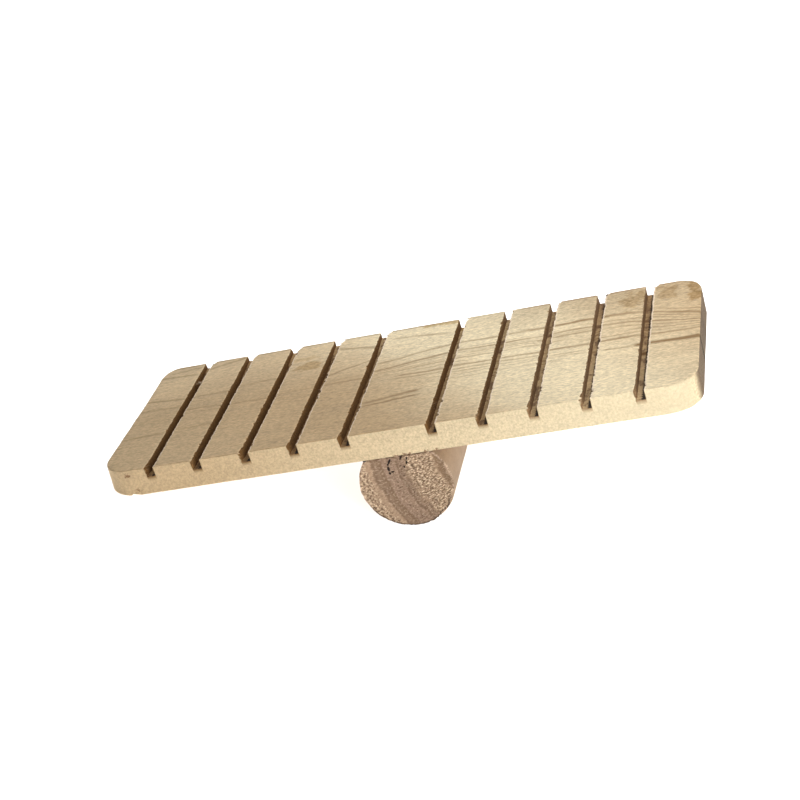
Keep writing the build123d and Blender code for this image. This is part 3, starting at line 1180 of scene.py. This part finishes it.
def porous_end(s, x, z, reach):
    """The rocker's porous end grain: how pitted and how bright each spot is."""
    turn = s.maths("ARCTAN2", s.minus(z, HEART[2]), s.minus(HEART[0], x))
    polar = s.add("ShaderNodeCombineXYZ", {0: s.product(reach, 0.62), 1: 0.0, 2: s.product(turn, 42.0)})
    worms = s.noise(polar, 1.75, 2.0, 0.6)
    dots = s.noise(polar, 2.3, 1.0, 0.5)
    coarse = s.product(s.step(reach, 27.8, 29.6), s.step(reach, 38.4, 36.6))
    outer = s.product(s.step(reach, 48.9, 50.4), 0.85)
    rows = s.largest(s.hill(reach, 42.6, 2.2), s.hill(reach, 38.9, 1.6))
    open_wood = s.largest(coarse, outer, 0.25)
    pits = s.product(s.step(worms, 0.49, 0.37), open_wood)
    pits = s.largest(pits, s.product(s.step(dots, 0.46, 0.36), rows))
    bright = s.product(s.step(worms, 0.51, 0.63), open_wood)
    return pits, bright


def pore_holes(s, x, z):
    """How deep in an open resin pore each spot of the front end is."""
    holes = []
    for middle_x, middle_z, half_width, half_height, lean in PORES:
        up = s.minus(z, middle_z)
        aside = s.total(x, s.product(up, -lean), -middle_x)
        u, v = s.maths("DIVIDE", aside, half_width), s.maths("DIVIDE", up, half_height)
        away = s.maths("SQRT", s.total(s.product(u, u), s.product(v, v)))
        holes.append(s.step(away, 0.9, 1.5, 1.0, 0.0))
    return s.largest(*holes)


def rocker_marks(s, colour, crumbs, mottle):
    """The rocker's rim, pale above partly as crumbled wood and partly as painted highlight, and dark
    below as painted shadow towards the floor; its open pores, painted black as the shade inside them;
    and painted shade in patches just below the board's edge, beside the glue joint.
    """
    x, y, z = s.split(s.place)
    rim = s.mark("rim")
    below = s.step(z, ROCKER_Z - 4.0, ROCKER_Z - 9.0)
    # Partly painted highlight: the upper rim is paler, partly as crumbled wood.
    pale_rim_and_highlight = s.product(rim, s.step(crumbs, 0.40, 0.62), s.scale(below, 0.0, 1.0, 0.5, 0.0))
    colour = s.mix(pale_rim_and_highlight, colour, RIM_CREAM_AND_HIGHLIGHT)
    # Painted shadow: the lower rim darkens towards the floor.
    painted_rim_shadow = s.product(s.step(rim, 0.2, 0.7), below, s.scale(crumbs, 0.35, 0.65, 0.7, 1.0))
    colour = s.mix(painted_rim_shadow, colour, RIM_PAINTED_SHADOW)
    front = s.step(y, 1.0 - ROCKER_HALF_LENGTH, 0.6 - ROCKER_HALF_LENGTH)
    # Painted shade: the open pores are painted near black as the shade inside them.
    colour = s.mix(s.product(pore_holes(s, x, z), front), colour, PORE_SHADE_BLACK)
    # Painted shade: patches just below the board's edge are darkened, where the board shades the end.
    by_joint = s.step(z, ROCKER_FLAT_Z - 1.7, ROCKER_FLAT_Z - 0.9)
    dark_patches = s.product(by_joint, s.step(mottle, 0.42, 0.56), front)
    return s.mix(s.product(dark_patches, 0.8), colour, SHADE_UNDER_BOARD_BROWN)


def rocker_wood():
    """Pinkish softwood: growth bands curving through its porous ends, and streaks along its sides."""
    s = Shader("pinkish_softwood")
    x, _, z = s.split(s.place)
    section = s.vector("MULTIPLY", s.place, (1.0, 0.02, 1.0))
    bend = s.scale(s.noise(section, 0.14, 3.0, 0.55), 0.25, 0.75, -0.9, 0.9)
    reach = s.total(s.vector("DISTANCE", section, HEART, output=1), bend)
    span = BAND_TO - BAND_FROM
    stops = [((r - BAND_FROM) / span, colour) for r, colour in ROCKER_BANDS]
    band = s.ramp(s.scale(reach, BAND_FROM, BAND_TO, 0.0, 1.0), stops)
    crumbs = s.noise(s.place, 1.9, 3.0, 0.65)
    mottle = s.noise(s.place, 0.35, 3.0, 0.6)

    end_grain = s.step(s.maths("ABSOLUTE", s.split(s.normal)[1]), 0.55, 0.85)
    pits, bright = porous_end(s, x, z, reach)
    # The bright crumbs are partly paler torn fibre and partly painted highlight; the pits are darkened
    # with painted shade.
    end_colour = s.mix(s.product(bright, 0.62), band, CRUMB_CREAM_AND_HIGHLIGHT)
    end_colour = s.mix(s.product(pits, 0.80), end_colour, PIT_SHADE_BROWN)
    streaks = s.noise(s.place, 1.2, 5.0, 0.6, (1, 24, 1))
    side_colour = s.mix(0.30, SIDE_BEIGE, band)
    side_colour = s.mix(s.step(streaks, 0.46, 0.72, 0.0, 0.45), side_colour, STREAK_BROWN)
    shade = s.total(s.sway(crumbs, -0.10, 0.10), s.sway(mottle, -0.07, 0.07), 1.0)
    colour = s.vector("SCALE", s.mix(end_grain, side_colour, end_colour), Scale=shade)
    colour = rocker_marks(s, colour, crumbs, mottle)

    end_height = s.total(s.product(bright, 0.8), s.product(pits, -1.4), s.product(crumbs, 0.8))
    side_height = s.total(s.product(streaks, 0.9), s.product(crumbs, 0.25))
    height = s.scale(end_grain, 0.0, 1.0, side_height, end_height)
    roughness = s.scale(end_grain, 0.0, 1.0, s.sway(crumbs, 0.62, 0.72), 0.85)
    return s.finish(colour, roughness, height, 0.10)


FIBRE_COLOURS = [(0.3, (0.30, 0.20, 0.115)), (0.7, (0.60, 0.46, 0.32))]
GLUE_COLOURS = [(0.3, (0.28, 0.17, 0.07)), (0.7, (0.52, 0.37, 0.18))]
GAP_SHADOW_BLACK = (0.020, 0.014, 0.010)


def fibre_wood():
    """Freshly torn fibres: paler and pinker than the sanded wood."""
    s = Shader("torn_fibre")
    colour = s.ramp(s.noise(s.place, 0.9, 2.0, 0.6), FIBRE_COLOURS)
    return s.finish(colour, 0.8, s.noise(s.place, 6.0), 0.02)


def dried_glue():
    """Dried wood glue: yellow-brown, a little glossy, dusty in places; near the rocker's front end it
    is painted near black, as the shadow in the gap there.
    """
    s = Shader("dried_wood_glue")
    cloud = s.noise(s.place, 0.5, 3.0, 0.6)
    colour = s.ramp(cloud, GLUE_COLOURS)
    # Painted shadow: glue near the rocker's front end, the corner drop, is painted near black.
    gap_shadow = s.step(s.split(s.place)[1], 1.2 - ROCKER_HALF_LENGTH, 0.9 - ROCKER_HALF_LENGTH)
    colour = s.mix(gap_shadow, colour, GAP_SHADOW_BLACK)
    roughness = s.sway(cloud, 0.25, 0.55)
    return s.finish(colour, roughness, s.noise(s.place, 1.2), 0.08, specular=0.5)


# ---------------- floor, light and camera


FLOOR_WHITE = (0.80, 0.80, 0.80, 1.0)
FLOOR_REACH = 30.0  # metres, out past the horizon of a low view

# The lamps: name, place in metres from the middle of the object, size, watts.
SOFTBOXES = [
    ("front_softbox", (0.20, -0.26, 0.10), 0.18, 0.78),
    ("over_softbox", (0.07, 0.09, 0.20), 0.16, 0.42),
    ("back_softbox", (-0.25, 0.50, 0.25), 0.30, 1.15),
]


def make_floor():
    """A plain pale floor."""
    material = bpy.data.materials.new("studio_floor")
    material.use_nodes = True
    paper = material.node_tree.nodes["Principled BSDF"].inputs
    paper["Base Color"].default_value = FLOOR_WHITE
    paper["Roughness"].default_value = 1.0
    paper["Specular IOR Level"].default_value = 0.0
    mesh = bpy.data.meshes.new("studio_floor")
    reach = FLOOR_REACH
    corners = [(-reach, -reach), (reach, -reach), (reach, reach), (-reach, reach)]
    mesh.from_pydata([(x, y, cad_low.z) for x, y in corners], [], [(0, 1, 2, 3)])
    mesh.materials.append(material)
    floor = place_object("studio_floor", mesh)
    return floor


def add_softbox(name, place, size, watts):
    """A square soft white light that faces the middle of the object. The camera doesn't see it."""
    light = bpy.data.lights.new(name, "AREA")
    light.size = size
    light.energy = watts
    lamp = place_object(name, light)
    middle = (cad_low + cad_high) / 2
    lamp.location = middle + Vector(place)
    lamp.rotation_euler = (middle - lamp.location).to_track_quat("-Z", "Y").to_euler()
    lamp.visible_camera = False


def light_floor(floor):
    """Even light that reaches only the floor, so that it looks like studio paper from all sides."""
    light = bpy.data.lights.new("floor_light", "SUN")
    light.energy = 3.5
    light.angle = math.radians(60)
    lamp = place_object("floor_light", light)
    floor_only = bpy.data.collections.new("floor_only")
    floor_only.objects.link(floor)
    lamp.light_linking.receiver_collection = floor_only
    lamp.light_linking.blocker_collection = floor_only


def light_studio():
    """Soft lights over and in front of the raised half, one behind, and a white room."""
    for softbox in SOFTBOXES:
        add_softbox(*softbox)
    world = bpy.data.worlds.new("white_room")
    world.use_nodes = True
    background = world.node_tree.nodes["Background"]
    background.inputs["Color"].default_value = (1.0, 1.0, 1.0, 1.0)
    background.inputs["Strength"].default_value = 0.18
    bpy.context.scene.world = world
    bpy.context.scene.view_settings.view_transform = "Standard"


CAMERA_AZIMUTH = math.radians(10.05)  # to the right of straight in front
CAMERA_ELEVATION = math.radians(29.69)
CAMERA_DISTANCE = 0.5253
CAMERA_AIM = Vector((-2.05, -2.27, -3.25)) * MM  # from the middle of the object's box
CAMERA_LENS = 73.61


def add_camera():
    """The camera at the photograph's angle, far enough away for its mild perspective."""
    camera = bpy.data.cameras.new("camera")
    camera.lens = CAMERA_LENS
    camera.sensor_width = 36.0
    camera.clip_start, camera.clip_end = 0.01, 100.0
    holder = place_object("camera", camera)
    flat = math.cos(CAMERA_ELEVATION)
    back = Vector((
        math.sin(CAMERA_AZIMUTH) * flat,
        -math.cos(CAMERA_AZIMUTH) * flat,
        math.sin(CAMERA_ELEVATION),
    ))
    aim = (cad_low + cad_high) / 2 + CAMERA_AIM
    holder.location = aim + back * CAMERA_DISTANCE
    holder.rotation_euler = (-back).to_track_quat("-Z", "Y").to_euler()
    bpy.context.scene.camera = holder


make_board(board_wood())
make_rocker(rocker_wood())
make_fibres(fibre_wood())
make_glue(dried_glue())
light_floor(make_floor())
light_studio()
add_camera()
